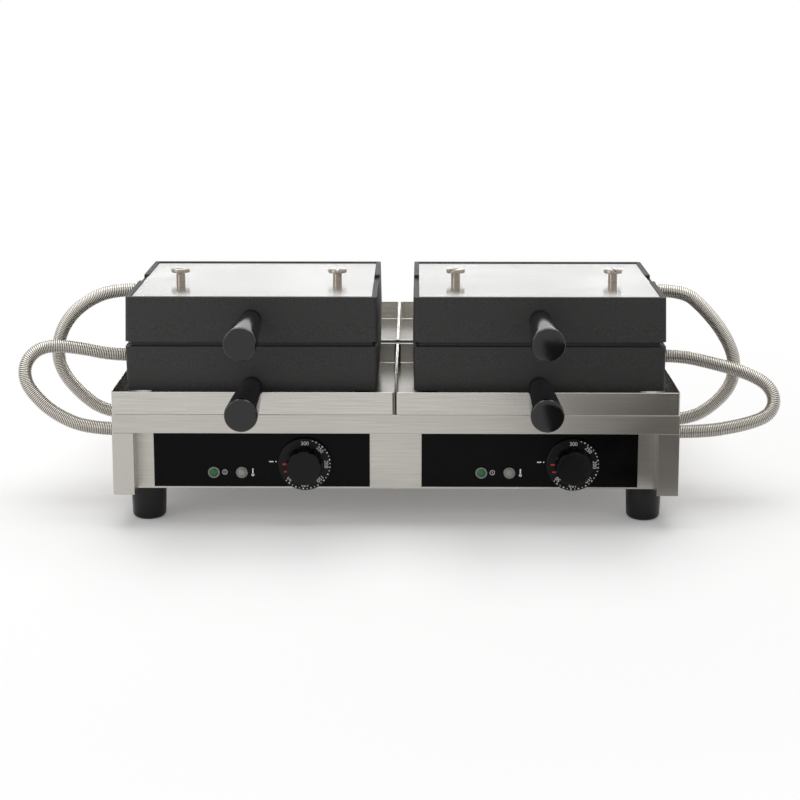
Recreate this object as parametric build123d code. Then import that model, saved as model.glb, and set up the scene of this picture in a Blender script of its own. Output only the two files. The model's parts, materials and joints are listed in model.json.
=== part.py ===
from build123d import *
from math import pi, radians, tan
import os

# Double countertop waffle maker with two turn-over irons. Millimetres, +Z up.
# Layout coordinates: X across from the middle, Y back from the front lip,
# Z up from the table. save() moves the part so that the origin lies under the
# middle of the box round it, hoses left out.

# Chassis sizes
body_w = 640.0  # across the side panels
hw = body_w / 2
foot_h = 40.0
foot_d = 41.0
foot_taper = 1.2
foot_round = 5.5
foot_side_inset = 33.0  # foot centre inside the side panel
foot_x = hw - foot_side_inset
foot_inset = 50.0  # foot centre behind the front lip
foot_bore_d = 14.0
foot_bore_deep = 9.0
sheet = 1.5
deck_top = 134.0
band_h = 22.0  # skirt of the deck
panel_recess = 27.0  # front and rear panels stand back under the deck
leg_w = 24.0  # corner flange of the side panels
base_screw_d = 6.0
base_screw_h = 1.8
base_screw_side = 75.5  # outer screws inside the side panels
base_screw_x = (base_screw_side - hw, 0.0, hw - base_screw_side)
base_screw_inset = 6.0
mains_side_inset = 120.0
mains_x = hw - mains_side_inset
mains_z = 75.0
mains_d = 20.0
mains_len = 16.0
mains_bore = 9.0
vent_w = 46.0
vent_h = 4.0
vent_pitch = 11.0
vent_count = 4
vent_z = 60.0
vent_x = 90.0  # middle of a row of vents
hole_clear = 0.2  # round what passes through a sheet

# Drip trays sizes
tray_to_beam = 2.0
tray_lip_top = 160.0
tray_sheet = 1.2
tray_gap = 0.4
tray_corner = 4.0
notch_clear = 1.6  # round the lower handle's neck

# Hinge sizes
hinge_z = 212.4
beam_w = 16.0
beam_top = 158.0
beam_wall = 2.0
post_t = 8.0
post_r = 8.0
post_dx = 80.0  # inner face of a post from the iron's middle
post_foot_w = 22.0
post_foot_h = 4.0
lug_t = 10.0
lug_r = 9.0
lug_gap = 0.5
lug_root = 22.0  # height of a lug where it leaves the casing
axle_d = 10.0
axle_run = 0.2
axle_seat = 0.05
axle_over = 3.5

# Iron sizes
iron_outward = 2.2  # an iron stands this far outside the middle of its half
iron_x = body_w / 4 + iron_outward
iron_w = 285.0
iron_front = 12.0  # casing face behind the lip
iron_d = 241.6
parting_gap = 5.9  # between the casings
casing_h = 50.7
draft = 1.4
casing_wall = 5.5
casing_corner = 5.0
ledge_w = 3.0
ledge_t = 1.7
apron_drop = 8.5
apron_inset = 28.5
cover_t = 1.5
cover_sunk = 1.0
fit = 0.5
rim_notch_w = 40.0
rim_notch_deep = 4.0
rim_notch_at = 125.0  # behind the casing face
seat_clear = 0.3  # round the handle's and the gland's seats
gland_sunk = 1.5  # seat of the gland in the casing's side
gland_bore_len = 30.0
wall_clear = 3.0  # the hollow over a cooking plate is narrower than its pocket
axle_back = 14.4  # hinge axis behind the casings
lug_inset = 1.5  # a lug's root reaches into the casing's rear wall
lug_low = 0.4  # root of a lug above the casing's rim

# Cooking plates sizes
plate_t = 18.0
rim_gap = 0.3
mould_deep = 13.0
mould_gap = 16.0  # between the two moulds
mould_side = 12.5  # rim beside the moulds
mould_end = 16.8  # rim in front of and behind them
mould_draft = 8.0
cell_count_x = 4
cell_count_y = 6
wall_w = 7.0  # batter ridge between pegs
peg_h = 10.0
peg_draft = 9.0
heater_d = 8.0  # flat-wound element pressed on the plate's back
heater_x = 100.0
heater_y = 80.0

# Handles sizes
handle_len = 130.0
handle_seat = 1.5
handle_neck_r = 11.25
handle_tip_r = 18.0
handle_bevel = 2.0
HANDLE_SWELL = ((0.1, 0.02), (0.22, 0.28), (0.42, 0.56), (0.7, 0.85))  # share of the length, of the swell
handle_up = 28.0  # upper handle's axis above the parting
handle_down = 49.0  # lower handle's axis below the parting

# Plate locks sizes
lock_side = 50.0
lock_back = 109.0
lock_head_d = 22.0
lock_head_t = 4.0
lock_shank_d = 10.5
lock_proud = 14.5
lock_slot_w = 2.4
lock_slot_deep = 1.6
lock_run = 0.3
lock_cam_w = 6.0
lock_cam_l = 18.0
lock_cam_t = 3.0
lock_tail = 6.0

# Controls sizes
plate_inward = 8.9  # a control plate's middle inside its iron's
plate_w = 247.3
plate_z0 = 42.5
plate_z1 = 110.0
plate_skin = 1.5
knob_from_left = 173.2
knob_z = 70.0
lamp_a_from_left = 68.5
lamp_b_from_left = 100.6
lamp_z = 59.5
skirt_d = 62.0
skirt_t = 3.0
grip_d = 41.0
grip_len = 18.0
grip_flutes = 8
flute_r = 4.0
flute_deep = 1.1
knob_gap = 0.4
spindle_d = 6.0
spindle_len = 26.0
bush_d = 10.0
thermostat_w = 40.0
thermostat_h = 44.0
thermostat_len = 30.0
thermostat_up = 6.0  # its box over the spindle
spindle_clear = 0.3
lens_wall = 0.5  # sleeve of the bezel round the lens
lamp_d = 14.0
lamp_lens_d = 10.0
lamp_proud = 2.0
lamp_body_len = 20.0

# Conduits sizes
hose_d = 16.0
gland_d = 20.0
gland_t = 4.0
gland_stub_d = 11.0
gland_stub = 8.0
gland_off = 39.5  # from the parting
gland_back = 121.0  # behind the casing face
# Points of the routes, from the casing's gland down to the side panel: x out from
# the side panel, z up from the table. They turn at these points in tangent arcs.
gland_rim = 1.6  # a casing gland is this much longer than one on the side panel
ROUTES = {
    "left_lower": [
        (20, 172.9), (54, 181.5), (88, 186.5), (107, 182.5), (120, 169), (121.5, 150), (111, 132),
        (85, 108.5), (44, 92),
    ],
    "left_upper": [
        (18, 251.9), (51, 237), (76, 213), (88.5, 182), (86, 151), (65, 121), (33.6, 95.5),
    ],
    "right_lower": [
        (19, 172.9), (52, 166), (84, 158.5), (108, 149.5), (122.5, 139.5), (129, 124.5),
        (123.5, 109.5), (108, 101.5), (80, 95), (42, 90),
    ],
    "right_upper": [
        (20, 251.9), (44, 232), (70, 201), (86, 168), (85, 136), (67, 110), (36, 88),
    ],
}
lower_end_y = 94.0  # where the lower conduits enter the side panels
upper_end_y = 158.0

# Derived places
hinge_y = iron_front + iron_d + axle_back
body_d = 2 * hinge_y  # front lip to rear lip: an iron turns over on to the rear half
tray_d = hinge_y - beam_w / 2 - tray_to_beam
skirt_z = deck_top - band_h
handle_tip_y = iron_front - handle_len
mid_y = (handle_tip_y + body_d) / 2
iron_back = iron_front + iron_d
lock_dx = iron_w / 2 - lock_side
lock_y = iron_front + lock_back
gland_y = iron_front + gland_back
floor_top = deck_top + tray_sheet
iron_mid_y = iron_front + iron_d / 2
plate_inner = iron_x - plate_inward - plate_w / 2
iron_plate_w = iron_w - 2 * casing_wall - 2 * fit
iron_plate_d = iron_d - 2 * casing_wall - 2 * fit
mould_w = (iron_plate_w - mould_gap) / 2 - mould_side
mould_d = iron_plate_d - 2 * mould_end
mould_step = mould_w + mould_gap
route_start_x = iron_x + iron_w / 2 - gland_sunk + gland_t + gland_rim

os.makedirs("parts", exist_ok=True)


def save(name, shape):
    export_step(Pos(0, -mid_y, 0) * shape, "parts/" + name + ".step")


def block(x0, x1, y0, y1, z0, z1):
    return Pos((x0 + x1) / 2, (y0 + y1) / 2, (z0 + z1) / 2) * Box(x1 - x0, y1 - y0, z1 - z0)


TURNS = {
    "+x": (0, 90, 0), "-x": (0, -90, 0), "+y": (-90, 0, 0),
    "-y": (90, 0, 0), "+z": (0, 0, 0), "-z": (180, 0, 0),
}


def rod(x, y, z, radius, length, way):
    """A cylinder from a point, along +x, -x, +y, -y, +z or -z."""
    return Pos(x, y, z) * Rot(*TURNS[way]) * Pos(0, 0, length / 2) * Cylinder(radius, length)


def group(parts):
    return Compound(children=[p if isinstance(p, Solid) else p.solid() for p in parts])


def flip(shape):
    """The lower shell is the upper one turned over in the parting plane."""
    return Pos(0, 0, hinge_z) * shape.mirror(Plane.XY)


def outward(s):
    return "+x" if s > 0 else "-x"


def route_end(name):
    """Where a conduit enters the side panel: y and z."""
    return (lower_end_y if "lower" in name else upper_end_y), ROUTES[name][-1][1]


# Chassis
deck = block(-hw, hw, 0, body_d, skirt_z, deck_top)
deck -= block(-hw + sheet, hw - sheet, sheet, body_d - sheet, skirt_z - 1, deck_top - sheet)
save("deck", deck)


def side_panel(s):
    x = s * hw
    skin = block(min(x, x - s * sheet), max(x, x - s * sheet), 0, body_d, foot_h, skirt_z)
    ends = ((0, sheet, 0, panel_recess), (body_d - sheet, body_d, body_d - panel_recess, body_d))
    for y0, y1, r0, r1 in ends:
        inner = x - s * leg_w
        skin += block(min(x, inner), max(x, inner), y0, y1, foot_h, skirt_z)
        skin += block(min(inner, inner + s * sheet), max(inner, inner + s * sheet), r0, r1, foot_h, skirt_z)
    for name in ROUTES:
        if name.startswith("left") == (s < 0):
            end_y, end_z = route_end(name)
            skin -= rod(x - s * 5, end_y, end_z, gland_stub_d / 2 + hole_clear, 10, outward(s))
    return skin


save("left_side_panel", side_panel(-1))
save("right_side_panel", side_panel(1))

panel_top = deck_top - sheet
panel_x = hw - sheet
label_left = (-plate_inner - plate_w, plate_inner)
front_panel = block(-panel_x, panel_x, panel_recess, panel_recess + sheet, foot_h, panel_top)
control_plates = []
for x0 in label_left:
    front_panel -= rod(x0 + knob_from_left, panel_recess - 1, knob_z, bush_d / 2 + hole_clear, 5, "+y")
    face = block(x0, x0 + plate_w, panel_recess - plate_skin, panel_recess, plate_z0, plate_z1)
    face -= rod(x0 + knob_from_left, panel_recess - 5, knob_z, bush_d / 2 + hole_clear, 8, "+y")
    lamp_hole_r = lamp_lens_d / 2 + lens_wall + hole_clear
    for dx in (lamp_a_from_left, lamp_b_from_left):
        front_panel -= rod(x0 + dx, panel_recess - 1, lamp_z, lamp_hole_r, 5, "+y")
        face -= rod(x0 + dx, panel_recess - 5, lamp_z, lamp_hole_r, 8, "+y")
    control_plates.append(face)
save("front_panel", front_panel)
save("control_plates", group(control_plates))

rear_y = body_d - panel_recess
rear_panel = block(-panel_x, panel_x, rear_y - sheet, rear_y, foot_h, panel_top)
for s in (-1, 1):
    rear_panel -= rod(s * mains_x, rear_y - 5, mains_z, gland_stub_d / 2 + hole_clear, 10, "+y")
    for i in range(vent_count):
        z = vent_z + i * vent_pitch
        x = s * vent_x
        rear_panel -= block(x - vent_w / 2, x + vent_w / 2, rear_y - 5, rear_y + 5, z, z + vent_h)
save("rear_panel", rear_panel)

base = block(-panel_x, panel_x, panel_recess + sheet, rear_y - sheet, foot_h, foot_h + sheet)
screw_y = (panel_recess + sheet + base_screw_inset, rear_y - sheet - base_screw_inset)
screws = []
for x in base_screw_x:
    for y in screw_y:
        base -= rod(x, y, foot_h - 1, base_screw_d / 4 + 0.1, 5, "+z")
        head = rod(x, y, foot_h, base_screw_d / 2, base_screw_h, "-z")
        screws.append(head + rod(x, y, foot_h - 0.1, base_screw_d / 4, sheet + 2.1, "+z"))
save("base_plate", base)
save("base_screws", group(screws))


def foot(x, y):
    r1, r0, f = foot_d / 2, foot_d / 2 - foot_taper, foot_round
    with BuildPart() as p:
        with BuildSketch(Plane.XZ):
            with BuildLine():
                outer = [(r0 - f, 0), (r0 - 0.3 * f, 0.3 * f), (r0, f), (r1, foot_h), (0, foot_h)]
                bore = [(0, foot_bore_deep), (foot_bore_d / 2, foot_bore_deep), (foot_bore_d / 2, 0)]
                Polyline(*outer, *bore, close=True)
            make_face()
        revolve(axis=Axis.Z)
    return Pos(x, y, 0) * p.part


foot_y = (foot_inset, body_d - foot_inset)
save("feet", group([foot(s * foot_x, y) for s in (-1, 1) for y in foot_y]))

glands = []
for s in (-1, 1):
    g = rod(s * mains_x, rear_y, mains_z, mains_d / 2, mains_len, "+y")
    g += rod(s * mains_x, rear_y - gland_stub, mains_z, gland_stub_d / 2, gland_stub + 1, "+y")
    through = mains_len + gland_stub + 3
    g -= rod(s * mains_x, rear_y - gland_stub - 1, mains_z, mains_bore / 2, through, "+y")
    glands.append(g)
save("mains_glands", group(glands))

beam = block(-panel_x, panel_x, hinge_y - beam_w / 2, hinge_y + beam_w / 2, deck_top, beam_top)
inner_y = beam_w / 2 - beam_wall
beam -= block(-hw, hw, hinge_y - inner_y, hinge_y + inner_y, deck_top - 1, beam_top - beam_wall)
save("hinge_beam", beam)


# Drip trays
def tray(left, rear):
    x0, x1 = (-hw, -tray_gap / 2) if left else (tray_gap / 2, hw)
    t = block(x0, x1, 0, tray_d, deck_top, tray_lip_top)
    t = fillet(t.edges().filter_by(Axis.Z), tray_corner)
    sh = tray_sheet
    inner = block(x0 + sh, x1 - sh, sh, tray_d - sh, floor_top, tray_lip_top + 5)
    t -= fillet(inner.edges().filter_by(Axis.Z), tray_corner - tray_sheet)
    r = handle_neck_r + notch_clear
    cx = -iron_x if left else iron_x
    cz = hinge_z - handle_down
    t -= rod(cx, -2, cz, r, 8, "+y")
    t -= block(cx - r, cx + r, -2, 6, cz, tray_lip_top + 5)
    if rear:
        t = Pos(0, body_d, 0) * t.mirror(Plane.XZ)
    return t


for left in (True, False):
    for rear in (False, True):
        name = ("rear_" if rear else "front_") + ("left" if left else "right")
        save(name + "_tray", tray(left, rear))

# Hinge
posts, axles = [], []
for cx in (-iron_x, iron_x):
    for s in (-1, 1):
        a, b = cx + s * post_dx, cx + s * (post_dx + post_t)
        x0, x1 = min(a, b), max(a, b)
        p = block(x0, x1, hinge_y - post_r, hinge_y + post_r, beam_top, hinge_z)
        p += rod(x0, hinge_y, hinge_z, post_r, x1 - x0, "+x")
        f = cx + s * (post_dx + post_t - post_foot_w)
        z = beam_top + post_foot_h
        p += block(min(f, b), max(f, b), hinge_y - post_r, hinge_y + post_r, beam_top, z)
        p -= rod(x0 - 1, hinge_y, hinge_z, axle_d / 2 + axle_seat, post_t + 2, "+x")
        posts.append(p)
    reach = post_dx + post_t + 2 * (lug_t + lug_gap) + axle_over
    ax = rod(cx - reach, hinge_y, hinge_z, axle_d / 2, 2 * reach, "+x")
    axles.append(chamfer(ax.edges().filter_by(GeomType.CIRCLE), 0.8))
save("hinge_posts", group(posts))
save("hinge_axles", group(axles))


# Shells
# A shell is drawn as the upper one, in coordinates with the parting plane at
# z = 0 and the iron's middle at x = 0; the lower one is mirrored in it.
def tapered(w, d, z0, z1, corner):
    """A drafted block over the casing's plan, its foot w by d at z0."""
    with BuildPart() as p:
        with BuildSketch(Plane.XY.offset(z0)):
            with Locations((0, iron_mid_y)):
                RectangleRounded(w, d, corner)
        extrude(amount=z1 - z0, taper=draft)
    return p.part


def casing(lower, side):
    z0 = parting_gap / 2
    top = z0 + casing_h
    drop = apron_drop if lower else 0.0
    body = tapered(iron_w, iron_d, z0, top, casing_corner)
    aw = iron_w - 2 * apron_inset
    if lower:
        front = iron_front + casing_h * tan(radians(draft))
        body += block(-aw / 2, aw / 2, front, iron_back - apron_inset, top - 1, top + drop)
    # pocket for the cooking plate, hollow, pocket for the cover
    pw = iron_w - 2 * casing_wall
    pd = iron_d - 2 * casing_wall
    cy = iron_mid_y
    plate_back = rim_gap / 2 + plate_t
    body -= block(-pw / 2, pw / 2, cy - pd / 2, cy + pd / 2, z0 - 1, plate_back)
    hollow_x = pw / 2 - ledge_w - wall_clear / 2
    hollow_y = pd / 2 - ledge_w - wall_clear / 2
    seat = top - cover_sunk - cover_t
    body -= block(-hollow_x, hollow_x, cy - hollow_y, cy + hollow_y, z0 - 1, seat - ledge_t)
    if lower:
        c0 = front + casing_wall
        c1 = iron_back - apron_inset - casing_wall
        cx = aw / 2 - casing_wall
        above = top + drop + 1
        body -= block(-cx + ledge_w, cx - ledge_w, c0 + ledge_w, c1 - ledge_w, seat - ledge_t - 1, above)
        body -= block(-cx, cx, c0, c1, seat + drop, above)
    else:
        cw, cd = cover_size(lower)
        cx = cw / 2
        c0 = cy - cd / 2
        c1 = cy + cd / 2
        body -= block(-cx + ledge_w, cx - ledge_w, c0 + ledge_w, c1 - ledge_w, seat - ledge_t - 1, top + 1)
        body -= block(-cx, cx, c0, c1, seat, top + 1)
        n0 = iron_front + rim_notch_at - rim_notch_w / 2
        for x0, x1 in ((-iron_w, 1 - cx), (cx - 1, iron_w)):
            body -= block(x0, x1, n0, n0 + rim_notch_w, top - rim_notch_deep, top + 1)
    # hinge lugs
    start = post_dx + post_t + lug_gap + (0 if lower else lug_t + lug_gap)
    for s in (-1, 1):
        lug_x = min(s * start, s * (start + lug_t))
        with BuildPart() as lug:
            with BuildSketch(Plane.YZ.offset(lug_x)):
                with Locations((hinge_y, 0)):
                    Circle(lug_r)
                with Locations((iron_back - lug_inset, z0 + lug_low + lug_root / 2)):
                    Rectangle(2, lug_root)
                make_hull()
            extrude(amount=lug_t)
        body += lug.part
        body -= rod(lug_x - 1, hinge_y, 0, axle_d / 2 + axle_run, lug_t + 2, "+x")
    # seat of the handle
    hz = handle_down if lower else handle_up
    seat_y = iron_front + handle_seat
    body -= rod(0, seat_y, hz, handle_neck_r + seat_clear, 20, "-y")
    # seat and hole of the conduit's gland
    gx = side * (iron_w / 2 - gland_sunk)
    body -= rod(gx, gland_y, gland_off, gland_d / 2 + seat_clear, 10, outward(side))
    inside = side * (iron_w / 2 - gland_bore_len)
    body -= rod(inside, gland_y, gland_off, gland_stub_d / 2 + hole_clear, gland_bore_len, outward(side))
    return body


def cover_size(lower):
    if lower:
        front = casing_h * tan(radians(draft))
        inset = apron_inset + 2 * casing_wall
        return iron_w - apron_inset - inset, iron_d - front - inset
    top_in = 2 * casing_h * tan(radians(draft))
    return iron_w - top_in - 2 * casing_wall, iron_d - top_in - 2 * casing_wall


def cover_place(lower):
    """Middle of the cover along y and the height of its outer face."""
    top = parting_gap / 2 + casing_h
    if lower:
        front = iron_front + casing_h * tan(radians(draft))
        return (front + iron_back - apron_inset) / 2, top + apron_drop - cover_sunk
    return iron_mid_y, top - cover_sunk


def cover(lower):
    w, d = cover_size(lower)
    cy, top = cover_place(lower)
    x = (w - fit) / 2
    y = (d - fit) / 2
    c = block(-x, x, cy - y, cy + y, top - cover_t, top)
    for s in (-1, 1):
        c -= rod(s * lock_dx, lock_y, top - 5, lock_shank_d / 2 + lock_run, 10, "+z")
    return c


def lock(lower, s, turn):
    _, top = cover_place(lower)
    k = rod(0, 0, top + lock_proud - lock_head_t, lock_head_d / 2, lock_head_t, "+z")
    k += rod(0, 0, top - lock_tail, lock_shank_d / 2, lock_tail + lock_proud - lock_head_t + 0.5, "+z")
    z0 = top - lock_tail
    k += block(-lock_cam_l / 2, lock_cam_l / 2, -lock_cam_w / 2, lock_cam_w / 2, z0, z0 + lock_cam_t)
    z1 = top + lock_proud
    k -= block(-lock_head_d, lock_head_d, -lock_slot_w / 2, lock_slot_w / 2, z1 - lock_slot_deep, z1 + 1)
    return Pos(s * lock_dx, lock_y, 0) * Rot(0, 0, turn) * k


def cooking_plate():
    z0 = rim_gap / 2
    cy = iron_mid_y
    w = iron_plate_w
    d = iron_plate_d
    p = block(-w / 2, w / 2, cy - d / 2, cy + d / 2, z0, z0 + plate_t)
    cell_x = (mould_w + wall_w) / cell_count_x
    cell_y = (mould_d + wall_w) / cell_count_y
    for s in (-1, 1):
        with BuildPart() as m:
            with BuildSketch(Plane.XY.offset(z0)):
                with Locations((s * mould_step / 2, cy)):
                    Rectangle(mould_w, mould_d)
            extrude(amount=mould_deep, taper=mould_draft)
        p -= m.part
    # pegs stand on the mould's floor and taper towards their tips
    with BuildPart() as pegs:
        with BuildSketch(Plane.XY.offset(z0 + mould_deep)):
            for s in (-1, 1):
                with Locations((s * mould_step / 2, cy)):
                    with GridLocations(cell_x, cell_y, cell_count_x, cell_count_y):
                        Rectangle(cell_x - wall_w, cell_y - wall_w)
        extrude(amount=-peg_h, taper=peg_draft)
    return p + pegs.part


def heater():
    z = rim_gap / 2 + plate_t + heater_d / 2
    cy = iron_mid_y
    h = heater_d / 2
    lane = heater_x / 3
    # ends of each bar, in lanes from the middle and in half lengths
    bars = [(-3, -3, -1, 1), (-3, -1, -1, -1), (-1, -1, -1, 1)]
    bars += [(-1, 1, 1, 1), (1, 1, -1, 1), (1, 3, -1, -1)]
    element = block(heater_x - h, heater_x + h, cy - heater_y - h, cy + heater_y + h, z - h, z + h)
    for x0, x1, y0, y1 in bars:
        y0 = cy + y0 * heater_y - h
        y1 = cy + y1 * heater_y + h
        element += block(x0 * lane - h, x1 * lane + h, y0, y1, z - h, z + h)
    return element


def handle(lower):
    z = handle_down if lower else handle_up
    base = iron_front + handle_seat
    length = handle_len + handle_seat
    n = handle_neck_r
    t = handle_tip_r
    b = handle_bevel
    with BuildPart() as h:
        with BuildSketch(Plane.XY):
            with BuildLine():
                waist = [(n + (t - n) * grow, length * along) for along, grow in HANDLE_SWELL]
                Polyline((0, 0), (n, 0), *waist, (t, length - b), (t - b, length), (0, length), close=True)
            make_face()
        revolve(axis=Axis.Y)
    return Pos(0, base, z) * Rot(180, 0, 0) * h.part


def shell_gland(side):
    x = iron_w / 2 - gland_sunk
    g = rod(side * x, gland_y, gland_off, gland_d / 2, gland_t + gland_rim, outward(side))
    return g + rod(side * (x + 0.5), gland_y, gland_off, gland_stub_d / 2, gland_stub + 0.5, outward(-side))


# Conduits
def route(name):
    end_y, end_z = route_end(name)
    s = -1 if name.startswith("left") else 1
    z0 = hinge_z + (gland_off if "upper" in name else -gland_off)
    full = [(route_start_x, z0)] + [(hw + x, z) for x, z in ROUTES[name]] + [(hw + gland_t, end_z)]
    n = len(full)
    out = []
    for i, (x, z) in enumerate(full):
        k = min(max((i - 1) / (n - 3), 0), 1)
        out.append(Vector(s * x, gland_y + (end_y - gland_y) * k, z))
    return out


def route_path(name):
    p = route(name)
    radii = []
    for a, b, c in zip(p, p[1:], p[2:]):
        turn = (b - a).get_angle(c - b)
        radii.append(0.45 * min((b - a).length, (c - b).length) / tan(radians(turn) / 2))
    return FilletPolyline(*p, radius=radii)


def hose(name):
    path = route_path(name)
    start = Plane(origin=path @ 0, x_dir=(0, 1, 0), z_dir=path % 0)
    tube = sweep(start * Circle(hose_d / 2), path=path)
    solid = pi * hose_d**2 / 4 * path.length
    print(name, "length", round(path.length), "volume", round(tube.volume), "of", round(solid))
    return tube


chassis_glands = []
for name in ROUTES:
    end_y, end_z = route_end(name)
    s = -1 if name.startswith("left") else 1
    g = rod(s * hw, end_y, end_z, gland_d / 2, gland_t, outward(s))
    g += rod(s * (hw + 0.5), end_y, end_z, gland_stub_d / 2, gland_stub + 0.5, outward(-s))
    chassis_glands.append(g)
save("chassis_glands", group(chassis_glands))

# Irons
LOCK_TURNS = {
    "left_upper_": (20, 90), "left_lower_": (0, 60), "right_upper_": (55, 100), "right_lower_": (30, 75),
}


def place(shape):
    """A drawn shell piece to its iron."""
    return Pos(cx, 0, 0) * flip(shape) if lower else Pos(cx, 0, hinge_z) * shape


for iron, cx, side in (("left", -iron_x, -1), ("right", iron_x, 1)):
    for lower in (False, True):
        tag = iron + ("_lower_" if lower else "_upper_")
        save(tag + "casing", place(casing(lower, side)))
        save(tag + "cover", place(cover(lower)))
        save(tag + "cooking_plate", place(cooking_plate()))
        save(tag + "heater", place(heater()))
        save(tag + "handle", place(handle(lower)))
        for letter, s, turn in zip("ab", (-1, 1), LOCK_TURNS[tag]):
            save(tag + "lock_" + letter, place(lock(lower, s, turn)))
        save(tag + "gland", place(shell_gland(side)))
        save(tag + "hose", hose(tag[:-1]))


# Controls
def knob(x):
    """Skirt and grip on one spindle, drawn along +Y from the front."""
    y0 = panel_recess - plate_skin - knob_gap
    k = rod(x, y0, knob_z, skirt_d / 2, skirt_t, "-y")
    k = chamfer(k.edges().group_by(Axis.Y)[0], 1.2)
    with BuildPart() as g:
        with BuildSketch(Plane(origin=(x, y0 - skirt_t + 0.2, knob_z), x_dir=(1, 0, 0), z_dir=(0, -1, 0))):
            Circle(grip_d / 2)
            with PolarLocations(grip_d / 2 + flute_r - flute_deep, grip_flutes):
                Circle(flute_r, mode=Mode.SUBTRACT)
        extrude(amount=grip_len + 0.2, taper=2)
        chamfer(g.faces().sort_by(Axis.Y)[0].edges(), 0.6)
    k += g.part
    return k + rod(x, y0 - 1, knob_z, spindle_d / 2, spindle_len + 1, "+y")


thermostats, bezels = [], []
lamps = {"power_lamps": [], "heat_lamps": []}
for i, x0 in enumerate(label_left):
    kx = x0 + knob_from_left
    save(("left", "right")[i] + "_thermostat_knob", knob(kx))
    back = panel_recess + sheet
    tz = knob_z + thermostat_up - thermostat_h / 2
    tx = kx - thermostat_w / 2
    t = block(tx, tx + thermostat_w, back, back + thermostat_len, tz, tz + thermostat_h)
    t += rod(kx, panel_recess - plate_skin, knob_z, bush_d / 2, plate_skin + sheet + 1, "+y")
    bore_r = spindle_d / 2 + spindle_clear
    t -= rod(kx, panel_recess - plate_skin - 1, knob_z, bore_r, spindle_len + 2, "+y")
    thermostats.append(t)
    for node, dx in (("power_lamps", lamp_a_from_left), ("heat_lamps", lamp_b_from_left)):
        face = panel_recess - plate_skin
        b = rod(x0 + dx, face, lamp_z, lamp_d / 2, lamp_proud, "-y")
        b = chamfer(b.edges().group_by(Axis.Y)[0], 0.6)
        b += rod(x0 + dx, face, lamp_z, lamp_lens_d / 2 + lens_wall, plate_skin + sheet + 2, "+y")
        bezels.append(b - rod(x0 + dx, face - 5, lamp_z, lamp_lens_d / 2, 30, "+y"))
        lens = rod(x0 + dx, face - lamp_proud + 0.6, lamp_z, lamp_lens_d / 2 - 0.1, lamp_body_len, "+y")
        lamps[node].append(lens)
save("thermostats", group(thermostats))
save("lamp_bezels", group(bezels))
for node, solids in lamps.items():
    save(node, group(solids))
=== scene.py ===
import json
import math

import bmesh
import bpy
from mathutils import Matrix, Vector


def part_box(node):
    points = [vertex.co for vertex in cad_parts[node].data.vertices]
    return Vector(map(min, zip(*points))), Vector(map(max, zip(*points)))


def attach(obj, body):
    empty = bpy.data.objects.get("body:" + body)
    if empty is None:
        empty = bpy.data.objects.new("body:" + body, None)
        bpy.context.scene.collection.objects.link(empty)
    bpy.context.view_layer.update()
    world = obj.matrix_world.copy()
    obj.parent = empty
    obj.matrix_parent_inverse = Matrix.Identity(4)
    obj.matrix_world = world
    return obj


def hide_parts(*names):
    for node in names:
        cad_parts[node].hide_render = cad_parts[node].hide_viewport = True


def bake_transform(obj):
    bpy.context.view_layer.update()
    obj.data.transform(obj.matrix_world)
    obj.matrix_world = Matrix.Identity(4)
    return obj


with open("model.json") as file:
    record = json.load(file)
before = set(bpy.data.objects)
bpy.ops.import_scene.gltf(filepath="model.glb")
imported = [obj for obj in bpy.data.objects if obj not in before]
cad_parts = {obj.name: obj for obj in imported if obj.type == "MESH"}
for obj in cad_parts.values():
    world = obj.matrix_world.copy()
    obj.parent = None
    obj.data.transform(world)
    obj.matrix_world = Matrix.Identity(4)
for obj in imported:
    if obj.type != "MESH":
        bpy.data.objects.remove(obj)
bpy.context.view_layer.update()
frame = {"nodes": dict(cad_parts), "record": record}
nodes = frame["nodes"]
MM = 0.001

record = frame["record"]
slot_of = {part["node"]: part["material_slot"] for part in record["subparts"]}
body_of_node = {name: body for body, names in record["behaviour"]["bodies"].items() for name in names}
IRONS = ("left", "right")
SHELLS = ("lower", "upper")


def middle(cad_node):
    """The middle of a CAD node's box, in metres."""
    low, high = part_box(cad_node)
    return (low + high) / 2


# Camera: the photograph's eye point in metres, its tilt down and turn left in degrees, its lens
# in millimetres and its framing
CAMERA_AT = (0.0223, -2.1358, 0.6387)
CAMERA_PITCH = 9.526
CAMERA_YAW = 0.508
CAMERA_LENS = 79.36
CAMERA_SHIFT_Y = -0.18
SENSOR_W = 36.0


def make_camera():
    data = bpy.data.cameras.new("camera")
    camera = bpy.data.objects.new("camera", data)
    bpy.context.scene.collection.objects.link(camera)
    camera.location = CAMERA_AT
    camera.rotation_euler = (math.radians(90 - CAMERA_PITCH), 0, math.radians(CAMERA_YAW))
    data.lens = CAMERA_LENS
    data.sensor_width = SENSOR_W
    data.shift_y = CAMERA_SHIFT_Y
    data.clip_start = 0.05
    data.clip_end = 50
    bpy.context.scene.camera = camera


make_camera()


# Materials. A colour mix node has its colours at these inputs and its result at this output.

MIX_A = 6
MIX_B = 7
MIX_RESULT = 2
BLACK = (0, 0, 0, 1)
WHITE = (1, 1, 1, 1)


def colour(text):
    """A linear RGBA colour from an sRGB hex value."""
    channels = []
    for i in (0, 2, 4):
        c = int(text[i : i + 2], 16) / 255
        channels.append(c / 12.92 if c <= 0.04045 else ((c + 0.055) / 1.055) ** 2.4)
    return (*channels, 1.0)


def node(tree, kind, links=None, **settings):
    """One shader node. links gives an input's name or number and the output that feeds it."""
    made = tree.nodes.new(kind)
    for name, value in settings.items():
        if hasattr(made, name):
            setattr(made, name, value)
        else:
            made.inputs[name.replace("_", " ")].default_value = value
    for name, output in (links or {}).items():
        tree.links.new(output, made.inputs[name])
    return made


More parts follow.
